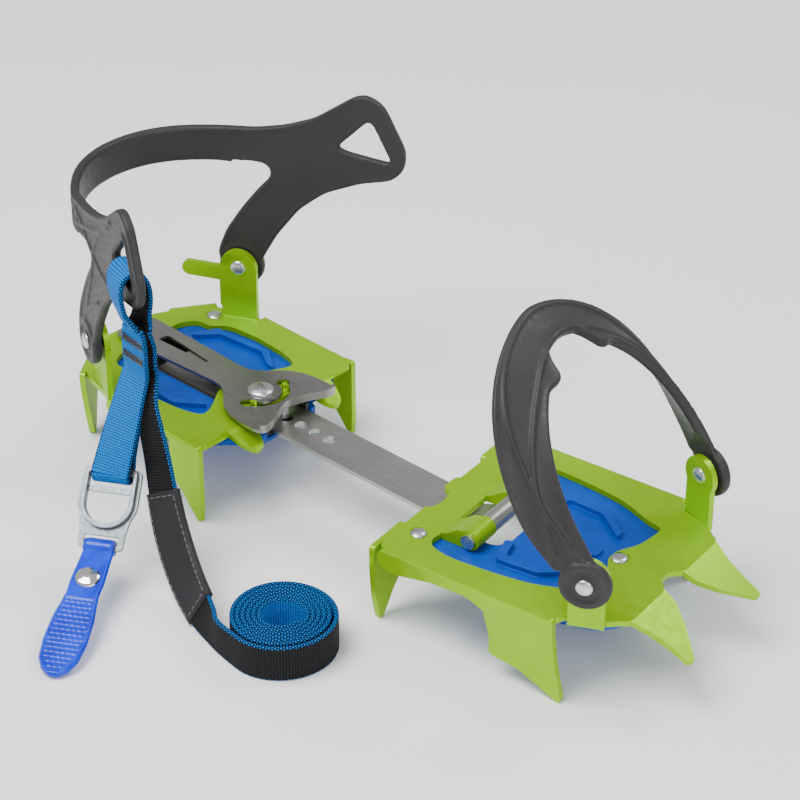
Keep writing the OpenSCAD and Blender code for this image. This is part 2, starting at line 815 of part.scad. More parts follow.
// A flat ring cut from sheet, in (across, up). drop is how far its round end
// lies below the strap bar.
bar_half = 9.3;
bar_band = 3;
round_drop = 12.8;
module ring_blank(band) {
    translate([0, -round_drop]) circle(r = bar_half + band, $fn = 96);
    polygon(soft([
        [-bar_half - band, -round_drop], [bar_half + band, -round_drop],
        [bar_half + band - 0.4, bar_band / 2], [-bar_half - band + 0.4, bar_band / 2]
    ], 2.5));
}
// The D-shaped hole, from its round end up to top.
module d_hole(top) {
    intersection() {
        union() {
            translate([0, -round_drop]) circle(r = bar_half, $fn = 96);
            translate([-bar_half, -round_drop]) square([2 * bar_half, round_drop]);
        }
        translate([-20, -40]) square([40, 40 + top]);
    }
}

module upper_ring() color(alloy)
    at_ring()
        translate([0, ring_t / 2, 0])
            rotate([90, 0, 0])
                linear_extrude(ring_t)
                    difference() {
                        ring_blank(2);
                        d_hole(-bar_band / 2);
                    }

tab_slot_z = -28.6;
lower_ring_low = -ring_t * 1.5 - ring_gap;
module lower_ring() color(alloy)
    at_ring()
        rotate([90, 0, 0])
            translate([0, 0, lower_ring_low])
                difference() {
                    union() {
                        linear_extrude(ring_t) ring_blank(3.4);
                        linear_extrude(ring_t)
                            polygon(soft([
                                [-11, -18], [11, -18], [9.6, -26], [9.6, -31.5], [7.8, -32.6],
                                [-7.8, -32.6], [-9.6, -31.5], [-9.6, -26]
                            ], 1.5));
                    }
                    translate([0, 0, -1])
                        linear_extrude(ring_t + 2)
                            union() {
                                d_hole(-9);
                                translate([-bar_half, -6.6]) square([2 * bar_half, 6.6 - bar_band / 2]);
                                translate([-7.3, tab_slot_z - 1.7]) square([14.6, 3.4]);
                            }
                }

// --------------------------------------------------------------- pull tab

// The tab's loop passes through the lower ring's slot; tab_at is the middle
// of the slot's outer bar.
tab_slope = 15.5;
tab_len = 66;
tab_t = 3;
tab_loop_r = 1.6;
tab_edge = [
    [3.4, 6.4], [-9, 6.8], [-18, 7.4], [-25, 7], [-30, 7.6], [-37, 8.8], [-49, 9.4],
    [-58, 8.4], [-64.5, 4.6], [-tab_len, 0]
];
tab_at = ring_point(ring_t + ring_gap, tab_slot_z - 2.85);

// Places the children at the tab's loop, with +X running back up the tab.
module at_tab() {
    translate(tab_at)
        rotate([0, 0, ring_turn - 90])
            rotate([0, tab_slope, 0])
                mirror([1, 0, 0])
                    children();
}

module pull_tab() color(blue)
    at_tab()
        difference() {
            union() {
                slab(whole([for (i = [len(tab_edge) - 1 : -1 : 0]) tab_edge[i]]), -tab_t / 2, tab_t / 2, 2);
                rod_y(tab_loop_r + 1.7, -6.4, 6.4);
            }
            rod_y(tab_loop_r, -9, 9);
            translate([-17, 0, -9]) cylinder(r = 2.2, h = 20, $fn = fine);
        }

module tab_snap() color(alloy)
    at_tab()
        translate([-17, 0, 0]) {
            translate([0, 0, -tab_t / 2 - 0.6]) cylinder(r = 2.2, h = tab_t + 1.2, $fn = fine);
            translate([0, 0, tab_t / 2]) dome(5.2, 1.8);
            translate([0, 0, -tab_t / 2 - 1]) cylinder(r = 4.6, h = 1, $fn = fine);
        }

// ------------------------------------------------------------------- nodes

front_frame();
front_antiball_plate();
front_plate_rivets();
hinge_pin();
bail_rivets();
bail_washers();
front_bail();
linking_bar();
heel_frame();
heel_antiball_plate();
bar_channel();
heel_plate_rivets();
basket_rivets();
basket_washers();
heel_basket();
lever_rivet();
adjuster_lever();
lock_peg();
strap_loop();
strap_short_strand();
strap_tail();
strap_coil();
strap_bar_tacks();
label_sleeve();
upper_ring();
lower_ring();
pull_tab();
tab_snap();
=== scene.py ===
"""Looks of the crampon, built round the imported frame. Metres, +Z up, the toe along +X.

Sizes that repeat the design's own are written in millimetres and scaled by MM.
"""

import math

import bmesh
import bpy
import numpy as np
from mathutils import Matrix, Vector
from mathutils.geometry import tessellate_polygon


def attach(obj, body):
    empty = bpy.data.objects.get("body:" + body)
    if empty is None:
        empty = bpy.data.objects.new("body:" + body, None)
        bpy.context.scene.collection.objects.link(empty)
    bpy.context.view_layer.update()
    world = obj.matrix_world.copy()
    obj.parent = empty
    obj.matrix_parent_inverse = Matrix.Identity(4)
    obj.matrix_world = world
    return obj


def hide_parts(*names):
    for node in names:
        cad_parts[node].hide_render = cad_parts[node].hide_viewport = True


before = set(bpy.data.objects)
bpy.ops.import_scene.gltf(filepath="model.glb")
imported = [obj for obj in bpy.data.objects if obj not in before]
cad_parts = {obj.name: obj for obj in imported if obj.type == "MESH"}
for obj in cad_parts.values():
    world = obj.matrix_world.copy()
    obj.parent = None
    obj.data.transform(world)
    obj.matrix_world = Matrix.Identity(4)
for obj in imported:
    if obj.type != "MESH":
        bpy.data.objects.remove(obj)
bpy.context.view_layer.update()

MM = 0.001

# ------------------------------------------------------------------ camera


def add_camera():
    """A long lens at the height and bearing from which the object is shown."""
    data = bpy.data.cameras.new("camera")
    data.lens = 124.67
    data.sensor_width = 36.0
    data.shift_x = 0.00175
    data.shift_y = 0.0001
    camera = bpy.data.objects.new("camera", data)
    camera.location = (0.4298, -0.7700, 0.6359)
    camera.rotation_euler = (math.radians(57.5), 0.0, math.radians(35.4))
    bpy.context.scene.collection.objects.link(camera)
    bpy.context.scene.camera = camera


add_camera()

# --------------------------------------------------- values from the design

FLOOR_Z = -37.4
PLATE_T = 2.5

HINGE = np.array([-64.0, -4.5, 0.0])
REAR_YAW = -7.3

BAIL_Y = 42.2
BAIL_Z = 20.4
BAIL_T = 4.0
BAIL_TOE = 20.0
BOSS_GAP = 1.6

BASKET_X = -190.0
BASKET_Y = 41.0
BASKET_Z = 25.0
BASKET_T = 4.0
SPLAY = 24.0
BASKET_GAP = PLATE_T / 2 + BOSS_GAP - 0.3

WEB_W = 16.0
WEB_T = 1.9
HANG_TURN = -13.9
LOOP_U = 59.0
RING_AT = np.array([-207.4, -74.3, 5.3])
RING_TURN = 22.6
RING_SLOPE = 46.0
RING_T = 1.9
RING_GAP = 0.2
COIL_AT = np.array([-115.0, -83.0])


def sin(a):
    return math.sin(math.radians(a))


def cos(a):
    return math.cos(math.radians(a))


def unit(v):
    return v / np.linalg.norm(v)


def turned(v, a):
    return np.array([v[0] * cos(a) - v[1] * sin(a), v[0] * sin(a) + v[1] * cos(a), v[2]])


def smooth(low, high, x):
    """0 below low, 1 above high, and a smooth step between."""
    t = min(1.0, max(0.0, (x - low) / (high - low)))
    return t * t * (3 - 2 * t)


# --------------------------------------------------------------- materials


class Shader:
    """A Principled material with short ways to add what varies over it."""

    def __init__(self, name, color, roughness, metallic=0.0, **extra):
        self.material = bpy.data.materials.new(name)
        self.material.use_nodes = True
        self.nodes = self.material.node_tree.nodes
        self.links = self.material.node_tree.links
        self.bsdf = self.nodes["Principled BSDF"]
        self.bsdf.inputs["Base Color"].default_value = (*color, 1)
        self.bsdf.inputs["Roughness"].default_value = roughness
        self.bsdf.inputs["Metallic"].default_value = metallic
        for key, value in extra.items():
            self.bsdf.inputs[key.replace("_", " ")].default_value = value
        self.color = color
        self.coords = self.nodes.new("ShaderNodeTexCoord")

    def place(self, scale, turn=0.0, source="Object"):
        """Coordinates turned about Z, then scaled along each axis."""
        turn_node = self.nodes.new("ShaderNodeMapping")
        turn_node.inputs["Rotation"].default_value = (0, 0, math.radians(turn))
        self.links.new(self.coords.outputs[source], turn_node.inputs["Vector"])
        scale_node = self.nodes.new("ShaderNodeMapping")
        scale_node.inputs["Scale"].default_value = scale
        self.links.new(turn_node.outputs["Vector"], scale_node.inputs["Vector"])
        return scale_node.outputs["Vector"]

    def noise(self, scale, detail=3.0, stretch=(1, 1, 1), turn=0.0):
        node = self.nodes.new("ShaderNodeTexNoise")
        node.inputs["Scale"].default_value = scale
        node.inputs["Detail"].default_value = detail
        self.links.new(self.place(stretch, turn), node.inputs["Vector"])
        return node.outputs["Fac"]

    def spread(self, value, low, high, out_low, out_high):
        node = self.nodes.new("ShaderNodeMapRange")
        numbers = (low, high, out_low, out_high)
        for key, number in zip(("From Min", "From Max", "To Min", "To Max"), numbers):
            node.inputs[key].default_value = number
        self.links.new(value, node.inputs["Value"])
        return node.outputs["Result"]

    def math(self, operation, a, b=None):
        node = self.nodes.new("ShaderNodeMath")
        node.operation = operation
        for slot, value in zip(node.inputs, (a, b)):
            if isinstance(value, (int, float)):
                slot.default_value = value
            elif value is not None:
                self.links.new(value, slot)
        return node.outputs["Value"]

    def ramp(self, value, stops):
        node = self.nodes.new("ShaderNodeValToRGB")
        ramp = node.color_ramp
        while len(ramp.elements) < len(stops):
            ramp.elements.new(0.5)
        for element, (at, color) in zip(ramp.elements, stops):
            element.position = at
            element.color = (*color, 1)
        self.links.new(value, node.inputs["Fac"])
        return node.outputs["Color"]

    def vary_color(self, value, stops):
        self.links.new(self.ramp(value, stops), self.bsdf.inputs["Base Color"])

    def vary_roughness(self, value, low, high, out_low, out_high):
        self.links.new(self.spread(value, low, high, out_low, out_high), self.bsdf.inputs["Roughness"])

    def bump(self, height, distance, strength=1.0):
        node = self.nodes.new("ShaderNodeBump")
        node.inputs["Distance"].default_value = distance
        node.inputs["Strength"].default_value = strength
        self.links.new(height, node.inputs["Height"])
        self.links.new(node.outputs["Normal"], self.bsdf.inputs["Normal"])


def shade(color, k):
    return tuple(min(1.0, c * k) for c in color)


def make_green():
    color = (0.29, 0.57, 0.0)
    s = Shader("green_paint", color, 0.38, metallic=0.55, Specular_IOR_Level=0.2)
    broad = s.noise(35, 3)
    s.vary_color(broad, [(0.3, shade(color, 0.93)), (0.7, shade(color, 1.04))])
    s.vary_roughness(s.noise(300, 4), 0.3, 0.7, 0.32, 0.46)
    s.bump(s.noise(1700, 2), 0.00005, 0.22)
    return s.material


def make_blue_plastic():
    color = (0.0, 0.058, 0.40)
    s = Shader("blue_plastic", color, 0.3, Specular_IOR_Level=0.22)
    s.vary_color(s.noise(60, 2), [(0.3, shade(color, 0.86)), (0.7, shade(color, 1.1))])
    s.vary_roughness(s.noise(220, 4), 0.3, 0.75, 0.2, 0.38)
    s.bump(s.noise(260, 2), 0.0002, 0.12)
    return s.material


def make_steel(name, turn, color, roughness):
    s = Shader(name, color, roughness, metallic=1.0)
    grain = s.noise(1.0, 4, stretch=(60, 5200, 900), turn=turn)
    broad = s.noise(50, 3)
    s.vary_color(s.math("ADD", s.math("MULTIPLY", grain, 0.6), s.math("MULTIPLY", broad, 0.4)),
                 [(0.3, shade(color, 0.82)), (0.7, shade(color, 1.1))])
    s.vary_roughness(grain, 0.3, 0.7, roughness - 0.08, roughness + 0.12)
    s.bump(grain, 0.00003, 0.5)
    return s.material


def make_bright(name, color, roughness, bump=0.25):
    s = Shader(name, color, roughness, metallic=1.0)
    s.vary_roughness(s.noise(700, 4), 0.3, 0.7, roughness * 0.7, roughness * 1.5)
    s.vary_color(s.noise(400, 3), [(0.3, shade(color, 0.88)), (0.7, color)])
    s.bump(s.noise(900, 3), 0.00005, bump)
    return s.material


def make_rubber(name, color, roughness):
    s = Shader(name, color, roughness, Specular_IOR_Level=0.32)
    s.vary_color(s.noise(28, 3), [(0.3, shade(color, 0.86)), (0.72, shade(color, 1.2))])
    s.vary_roughness(s.noise(500, 4), 0.3, 0.7, roughness - 0.08, roughness + 0.08)
    s.bump(s.noise(2400, 3), 0.00006, 0.4)
    return s.material


def make_tab_plastic():
    color = (0.0, 0.016, 0.62)
    s = Shader("tab_plastic", color, 0.2, Coat_Weight=0.1, Coat_Roughness=0.1,
               Transmission_Weight=0.12, IOR=1.45, Specular_IOR_Level=0.3)
    s.vary_color(s.noise(90, 2), [(0.3, shade(color, 0.8)), (0.75, (0.0, 0.055, 0.95))])
    s.vary_roughness(s.noise(300, 3), 0.3, 0.7, 0.1, 0.25)
    s.bump(s.noise(500, 2), 0.0001, 0.15)
    return s.material


# Pitch of the weave across and along the webbing, in metres.
WEAVE_ACROSS = 0.00105
WEAVE_ALONG = 0.00115


def weave(s):
    """Rows of yarn crowns, each row set off by half a pitch from the last."""
    split = s.nodes.new("ShaderNodeSeparateXYZ")
    s.links.new(s.coords.outputs["UV"], split.inputs["Vector"])
    across = s.math("DIVIDE", split.outputs["X"], WEAVE_ACROSS)
    along = s.math("DIVIDE", split.outputs["Y"], WEAVE_ALONG)
    row = s.math("MODULO", s.math("FLOOR", along), 2.0)
    cell = s.math("FRACT", s.math("ADD", across, s.math("MULTIPLY", row, 0.5)))
    crown_a = s.math("SINE", s.math("MULTIPLY", cell, math.pi))
    crown_b = s.math("SINE", s.math("MULTIPLY", s.math("FRACT", along), math.pi))
    return s.math("MULTIPLY", crown_a, crown_b)


def make_webbing(name, dark, light, hollow_shade_and_fibre_tone):
    s = Shader(name, light, 0.7, Specular_IOR_Level=0.1)
    height = weave(s)
    fibre = s.noise(1800, 4)
    value = s.math("ADD", s.math("MULTIPLY", height, 0.75), s.math("MULTIPLY", fibre, 0.3))
    # Colour follows the weave's height: painted shade darkens the hollows between the yarn crowns, and the
    # fibre noise adds the yarn's own uneven tone.
    s.vary_color(value, [(hollow_shade_and_fibre_tone, dark), (hollow_shade_and_fibre_tone + 0.3, light)])
    s.bump(value, 0.0004, 0.85)
    return s.material


def make_thread(name, color):
    s = Shader(name, color, 0.7, Sheen_Weight=0.3)
    s.vary_color(s.noise(3000, 2), [(0.3, shade(color, 0.5)), (0.7, shade(color, 1.3))])
    s.bump(s.noise(5000, 2), 0.0001, 0.5)
    return s.material


GREEN = make_green()
BLUE = make_blue_plastic()
BAR_STEEL = make_steel("bar_steel", -REAR_YAW, (0.48, 0.468, 0.455), 0.36)
LEVER_STEEL = make_steel("lever_steel", -REAR_YAW, (0.36, 0.348, 0.338), 0.34)
ALLOY = make_bright("rivet_alloy", (0.62, 0.63, 0.64), 0.3)
RING_STEEL = make_bright("ring_steel", (0.30, 0.33, 0.35), 0.36, bump=0.6)
CHROME = make_bright("snap_chrome", (0.90, 0.90, 0.90), 0.1, bump=0.1)
TPU = make_rubber("grey_tpu", (0.026, 0.0245, 0.0255), 0.5)
BLACK = make_rubber("black_plastic", (0.02, 0.02, 0.022), 0.45)
LABEL = make_rubber("label_rubber", (0.014, 0.014, 0.015), 0.62)
TAB_BLUE = make_tab_plastic()
# The last number is the level below which the dark tone shows: painted shade in the weave's hollows, and the
# darker fibres.
WEB_BLUE = make_webbing("webbing_blue", (0.0, 0.015, 0.09), (0.0, 0.20, 0.66), 0.14)
WEB_BLACK = make_webbing("webbing_black", (0.002, 0.002, 0.0025), (0.019, 0.0195, 0.021), 0.2)
WEB_EDGE = make_webbing("webbing_edge", (0.003, 0.004, 0.006), (0.0, 0.17, 0.56), 0.36)
DARK_THREAD = make_thread("dark_thread", (0.012, 0.012, 0.014))
GREY_THREAD = make_thread("grey_thread", (0.10, 0.10, 0.105))

# ------------------------------------------------------------ mesh helpers


def add_object(name, verts, faces, materials, smooth_faces=True):
    """A mesh object from points in millimetres."""
    mesh = bpy.data.meshes.new(name)
    mesh.from_pydata([tuple(float(c) * MM for c in v) for v in verts], [], faces)
    mesh.update()
    for material in materials:
        mesh.materials.append(material)
    obj = bpy.data.objects.new(name, mesh)
    bpy.context.scene.collection.objects.link(obj)
    if smooth_faces:
        mesh.polygons.foreach_set("use_smooth", [True] * len(mesh.polygons))
    return obj


class Solid:
    """Gathers closed shells, in millimetres, that are later fused into one."""

    def __init__(self):
        self.verts = []
        self.faces = []

    def add(self, verts, faces):
        base = len(self.verts)
        self.verts.extend([tuple(map(float, v)) for v in verts])
        self.faces.extend([tuple(base + i for i in face) for face in faces])

    def prism(self, outer, low, high, place, holes=()):
        """An outline in (u, z), with holes, between two depths. place turns
        (u, depth, z) into a point."""
        loops = [list(outer)] + [list(hole) for hole in holes]
        flat = [p for loop in loops for p in loop]
        n = len(flat)
        triangles = tessellate_polygon([[Vector((p[0], p[1], 0)) for p in loop] for loop in loops])
        verts = [place(p[0], low, p[1]) for p in flat] + [place(p[0], high, p[1]) for p in flat]
        faces = [tuple(t) for t in triangles]
        faces += [tuple(i + n for i in reversed(t)) for t in triangles]
        start = 0
        for loop in loops:
            m = len(loop)
            for i in range(m):
                a = start + i
                b = start + (i + 1) % m
                faces.append((a, b, b + n, a + n))
            start += m
        self.add(verts, faces)

    def tube(self, points, radius, sides=8, closed=False):
        """A round bead along points. radius is a number or one per point."""
        points = [np.asarray(p, float) for p in points]
        count = len(points)
        radii = [radius] * count if isinstance(radius, (int, float)) else list(radius)
        verts = []
        for i, p in enumerate(points):
            before = points[(i - 1) % count] if closed or i > 0 else p
            after = points[(i + 1) % count] if closed or i < count - 1 else p
            d = unit(after - before)
            side = np.cross(d, [0.31, 0.17, 0.93])
            side = unit(side) if np.linalg.norm(side) > 0.1 else unit(np.cross(d, [1, 0, 0]))
            up = np.cross(d, side)
            for k in range(sides):
                a = 360 * k / sides
                verts.append(p + (side * cos(a) + up * sin(a)) * radii[i])
        faces = []
        for i in range(count if closed else count - 1):
            for k in range(sides):
                a = i * sides + k
                b = i * sides + (k + 1) % sides
                c = ((i + 1) % count) * sides
                faces.append((a, b, c + (k + 1) % sides, c + k))
        if not closed:
            faces.append(tuple(range(sides)))
            faces.append(tuple((count - 1) * sides + k for k in reversed(range(sides))))
        self.add(verts, faces)

    def lathe(self, profile, place, sides=48):
        """profile is (radius, depth) from axis to axis; place as in prism,
        with the axis at u = z = 0."""
        verts = []
        for r, depth in profile:
            for k in range(sides):
                a = 360 * k / sides
                verts.append(place(r * cos(a), depth, r * sin(a)))
        faces = []
        for i in range(len(profile) - 1):
            for k in range(sides):
                b = (k + 1) % sides
                faces.append((i * sides + k, i * sides + b, (i + 1) * sides + b, (i + 1) * sides + k))
        faces.append(tuple(range(sides)))
        faces.append(tuple((len(profile) - 1) * sides + k for k in reversed(range(sides))))
        self.add(verts, faces)

    def grid(self, front, back):
        """A closed sheet between two equal grids of points."""
        rows = len(front)
        cols = len(front[0])
        verts = [p for row in front for p in row] + [p for row in back for p in row]
        n = rows * cols
        faces = []
        for i in range(rows - 1):
            for j in range(cols - 1):
                a = i * cols + j
                faces.append((a, a + 1, a + cols + 1, a + cols))
                faces.append((a + n, a + cols + n, a + cols + 1 + n, a + 1 + n))
        for i in range(rows - 1):
            for j in (0, cols - 1):
                a = i * cols + j
                side = (a, a + cols, a + cols + n, a + n)
                faces.append(side if j == 0 else (side[0], side[3], side[2], side[1]))
        for j in range(cols - 1):
            for i in (0, rows - 1):
                a = i * cols + j
                faces.append((a, a + n, a + 1 + n, a + 1) if i == 0 else (a, a + 1, a + 1 + n, a + n))
        self.add(verts, faces)

    def moulded(self, name, voxel, material, rounds=3):
        """Fuses the shells into one skin and softens its edges."""
        obj = add_object(name, self.verts, self.faces, [material])
        obj.data.remesh_voxel_size = voxel * MM
        modifier = obj.modifiers.new("fuse", "REMESH")
        modifier.mode = "VOXEL"
        modifier.voxel_size = voxel * MM
        soften = obj.modifiers.new("soften", "SMOOTH")
        soften.factor = 0.5
        soften.iterations = rounds
        apply_modifiers(obj)
        obj.data.polygons.foreach_set("use_smooth", [True] * len(obj.data.polygons))
        return obj


def apply_modifiers(obj):
    graph = bpy.context.evaluated_depsgraph_get()
    mesh = bpy.data.meshes.new_from_object(obj.evaluated_get(graph))
    obj.modifiers.clear()
    old = obj.data
    obj.data = mesh
    bpy.data.meshes.remove(old)


def soft(points, cut=3.0, n=4):
    """The outline with each corner turned into a curve."""
    out = []
    count = len(points)
    for i in range(count):
        b = np.array(points[i], float)
        a = np.array(points[i - 1], float)
        c = np.array(points[(i + 1) % count], float)
        p = b + unit(a - b) * min(cut, 0.45 * np.linalg.norm(a - b))
        q = b + unit(c - b) * min(cut, 0.45 * np.linalg.norm(c - b))
        for k in range(n + 1):
            u = k / n
            out.append((1 - u) ** 2 * p + 2 * u * (1 - u) * b + u * u * q)
    return out


def inset(points, distance):
    """Moves each point of a closed outline inwards."""
    count = len(points)
    area = sum(points[i - 1][0] * points[i][1] - points[i][0] * points[i - 1][1] for i in range(count))
    turn = 1 if area > 0 else -1
    out = []
    for i in range(count):
        d = unit(np.asarray(points[(i + 1) % count]) - np.asarray(points[i - 1]))
        out.append(np.asarray(points[i]) + np.array([-d[1], d[0]]) * distance * turn)
    return out


def spline(points, steps):
    """Points on a smooth curve through the given ones."""
    pts = [np.asarray(p, float) for p in points]
    pts = [2 * pts[0] - pts[1]] + pts + [2 * pts[-1] - pts[-2]]
    out = []
    for i in range(1, len(pts) - 2):
        p0, p1, p2, p3 = pts[i - 1:i + 3]
        for k in range(steps):
            t = k / steps
            out.append(0.5 * (2 * p1 + (p2 - p0) * t + (2 * p0 - 5 * p1 + 4 * p2 - p3) * t * t
                              + (3 * p1 - p0 - 3 * p2 + p3) * t ** 3))
    out.append(pts[-2])
    return out


# ------------------------------------------------- metal and plastic plates


def rounded_copy(node, name, body, material, width, bend=0.0):
    """A copy of a CAD plate whose edges are rounded, with wider bends where a
    big face turns away from the plate's top."""
    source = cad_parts[node]
    bm = bmesh.new()
    bm.from_mesh(source.data)
    bm.transform(source.matrix_world)
    bmesh.ops.remove_doubles(bm, verts=bm.verts, dist=0.00001)
    bmesh.ops.dissolve_limit(bm, angle_limit=math.radians(0.6), verts=bm.verts, edges=bm.edges)
    bmesh.ops.recalc_face_normals(bm, faces=bm.faces)
    if bend:
        chosen = [e for e in bm.edges if is_bend(e)]
        bmesh.ops.bevel(bm, geom=chosen, offset=bend * MM, segments=5, profile=0.5,
                        affect="EDGES", clamp_overlap=False, offset_type="OFFSET")
        bmesh.ops.recalc_face_normals(bm, faces=bm.faces)
    sharp = [e for e in bm.edges if len(e.link_faces) == 2 and e.calc_face_angle(0) > math.radians(35)]
    bmesh.ops.bevel(bm, geom=sharp, offset=width * MM, segments=3, profile=0.5,
                    affect="EDGES", clamp_overlap=True, offset_type="OFFSET")
    mesh = bpy.data.meshes.new(name)
    bm.to_mesh(mesh)
    bm.free()
    mesh.materials.append(material)
    mesh.polygons.foreach_set("material_index", [0] * len(mesh.polygons))
    mesh.polygons.foreach_set("use_smooth", [True] * len(mesh.polygons))
    mesh.set_sharp_from_angle(angle=math.radians(40))
    obj = bpy.data.objects.new(name, mesh)
    bpy.context.scene.collection.objects.link(obj)
    weighted = obj.modifiers.new("normals", "WEIGHTED_NORMAL")
    weighted.keep_sharp = True
    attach(obj, body)
    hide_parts(node)
    return obj


def is_bend(edge):
    """True where the plate's top turns into a tooth, a lug or a point."""
    if len(edge.link_faces) != 2 or edge.calc_length() < 5 * MM:
        return False
    a, b = sorted(edge.link_faces, key=lambda f: -f.normal.z)
    flat_top = a.normal.z > 0.999 and abs(a.calc_center_median().z) < 0.3 * MM
    upright = abs(b.normal.z) < 0.06 and b.calc_area() > 210 * MM * MM
    sloping = 0.8 < b.normal.z < 0.95 and b.calc_area() > 90 * MM * MM
    return flat_top and (upright or sloping)


PLATES = [
    ("front_frame", "front_plate", "front", GREEN, 0.4, 1.6, "green_paint"),
    ("heel_frame", "heel_plate", "heel", GREEN, 0.4, 1.6, "green_paint"),
    ("front_antiball_plate", "front_guard", "front", BLUE, 0.5, 0.0, "blue_plastic"),
    ("heel_antiball_plate", "heel_guard", "heel", BLUE, 0.5, 0.0, "blue_plastic"),
    ("linking_bar", "bar", "bar", BAR_STEEL, 0.25, 0.0, "bar_steel"),
    ("adjuster_lever", "lever_plate", "lever", LEVER_STEEL, 0.3, 0.0, "bar_steel"),
    ("bar_channel", "channel", "heel", BLACK, 0.3, 0.0, "black_plastic"),
    ("upper_ring", "front_ring", "ring_front", RING_STEEL, 0.55, 0.0, "ring_steel"),
    ("lower_ring", "back_ring", "ring_back", RING_STEEL, 0.55, 0.0, "ring_steel"),
]
for node, name, body, material, width, bend, slot in PLATES:
    rounded_copy(node, name, body, material, width, bend)

# Small turned pieces keep their CAD shape.
SMALL = {
    "front_plate_rivets": ALLOY, "heel_plate_rivets": ALLOY, "hinge_pin": ALLOY, "lever_rivet": ALLOY,
    "lock_peg": ALLOY, "tab_snap": CHROME,
    "bail_washers": BLACK, "basket_washers": BLACK,
}
for node, material in SMALL.items():
    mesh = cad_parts[node].data
    mesh.materials.clear()
    mesh.materials.append(material)

# ------------------------------------------------------------ side rivets

AXIS_R = 0.01           # stands for a radius of nothing, where a profile meets its axis
BOSS_RISE = 0.2         # how far a boss's middle stands over its wall
BAIL_BOSS_R = 10.4
BASKET_BOSS_R = 10.5
RIVET_HEAD_R = 3.5
RIVET_SHANK_R = 2.4


def rivet_profile(lug_depth, boss_depth):
    """From the peened end inside the lug to the domed head on the boss."""
    return [
        (AXIS_R, lug_depth - 1.1), (RIVET_SHANK_R, lug_depth - 0.95),
        (3.3, lug_depth - 0.5), (RIVET_HEAD_R, lug_depth),
        (RIVET_SHANK_R, lug_depth), (RIVET_SHANK_R, boss_depth), (RIVET_HEAD_R, boss_depth),
        (RIVET_HEAD_R, boss_depth + 0.3), (3.2, boss_depth + 0.75), (2.5, boss_depth + 1.15),
        (1.4, boss_depth + 1.4), (AXIS_R, boss_depth + 1.5),
    ]


def make_side_rivets(name, node, body, places, lug_depth, boss_depth):
    """One rivet square to each toed lug, so its head sits flat on the boss."""
    solid = Solid()
    for place in places:
        solid.lathe(rivet_profile(lug_depth, boss_depth), place)
    obj = add_object(name, solid.verts, solid.faces, [ALLOY], smooth_faces=False)
    bm = bmesh.new()
    bm.from_mesh(obj.data)
    bmesh.ops.recalc_face_normals(bm, faces=bm.faces)
    for face in bm.faces:
        face.smooth = True
    for edge in bm.edges:
        edge.smooth = edge.calc_face_angle(0.0) < math.radians(50)
    bm.to_mesh(obj.data)
    bm.free()
    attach(obj, body)
    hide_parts(node)


# ---------------------------------------------------------------- toe bail


def bail_boss_place(side):
    def place(u, depth, z):
        p = turned(np.array([u, PLATE_T / 2 + BOSS_GAP + depth, 0]), -BAIL_TOE)
        return (p[0], side * (p[1] + BAIL_Y), BAIL_Z + z)

    return place


def bail_rise(a):
    return abs(sin(a)) ** 1.19


def bail_reach(a):
    return math.copysign(abs(cos(a)) ** 1.19, cos(a))


def bail_back(a):
    t = bail_rise(a)
    return np.array([-12 - 46 * t, (51.5 + 25 * t) * bail_reach(a), 5 + 71 * t])


def bail_front(a):
    t = bail_rise(a)
    return np.array([15 - 53 * t, (40.7 + 24 * t) * bail_reach(a), -6 + 74 * t])


def bail_out(a):
    along = bail_back(a + 1) + bail_front(a + 1) - bail_back(a - 1) - bail_front(a - 1)
    return unit(np.cross(along, bail_front(a) - bail_back(a)))


def bail_edge(a):
    """How far the front edge stands past its plain line: a strap notch
    between two small hooks."""
    off = abs(a - 90)
    notch = -4.6 * (1 - smooth(11, 17, off))
    hook = 3.4 * smooth(14.5, 18, off) * (1 - smooth(18.5, 26, off))
    return notch + hook


# Raised lines on the outside, as (angle, share of the width from the back).
BAIL_LINES = [
    [(8, 0.80), (14, 0.76), (22, 0.62), (29, 0.52), (38, 0.58),
     (50, 0.70), (62, 0.78), (72, 0.76), (90, 0.70)],
    [(8, 0.20), (14, 0.31), (22, 0.42), (28, 0.49), (36, 0.42),
     (46, 0.28), (58, 0.17), (72, 0.12), (90, 0.11)],
    [(11, 0.34), (17, 0.41), (24, 0.47)],
]


def bail_span(a):
    """The share of the width, from the back edge, that the band takes: near a
    pivot it narrows to the boss."""
    grow = smooth(3, 17, min(a, 180 - a))
    return 0.11 * (1 - grow), 1 - 0.225 * (1 - grow)


def bail_point(a, v, lift):
    back = bail_back(a)
    across = bail_front(a) - back
    return back + across * v + bail_out(a) * lift


def boss_profile(outer_r, depth, relief=0.0):
    """A moulded boss, dished round its rivet. relief hollows its inner face so
    that a washer stays clear when the toed face turns."""
    return [
        (AXIS_R, relief), (5.4, relief), (5.9, 0), (outer_r - 0.8, 0),
        (outer_r, 0.8), (outer_r, depth - 0.6), (outer_r - 0.9, depth + 0.3),
        (7.6, depth + 0.3), (6.2, depth - 0.5), (4.6, depth - 0.5),
        (4.3, depth + BOSS_RISE), (AXIS_R, depth + BOSS_RISE),
    ]


